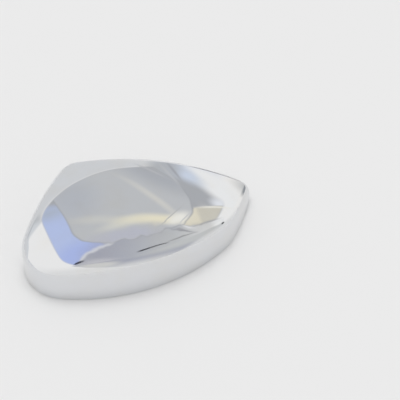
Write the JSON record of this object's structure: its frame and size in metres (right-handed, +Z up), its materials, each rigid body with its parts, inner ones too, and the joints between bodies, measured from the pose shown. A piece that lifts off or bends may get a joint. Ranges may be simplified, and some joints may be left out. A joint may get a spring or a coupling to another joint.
{
  "type": "wing mirror cover",
  "caption": "Bright plated wing mirror cover: a hollow crowned shell with a drafted wall and rounded shoulder, snapped over a car's door mirror housing.",
  "frame": {"origin": "under the middle of the outline's box, on the plane of the rim", "axes": "+Z up from the rim to the crown, +X the long way towards the narrow tip, +Y from the bowed near edge to the far edge"},
  "size_m": [0.2236, 0.1438, 0.049],
  "materials": {
    "chrome_plating": "bright mirror plating over a plastic moulding"
  },
  "bodies": {
    "root": {"cover_shell": "chrome_plating"}
  },
  "joints": []
}
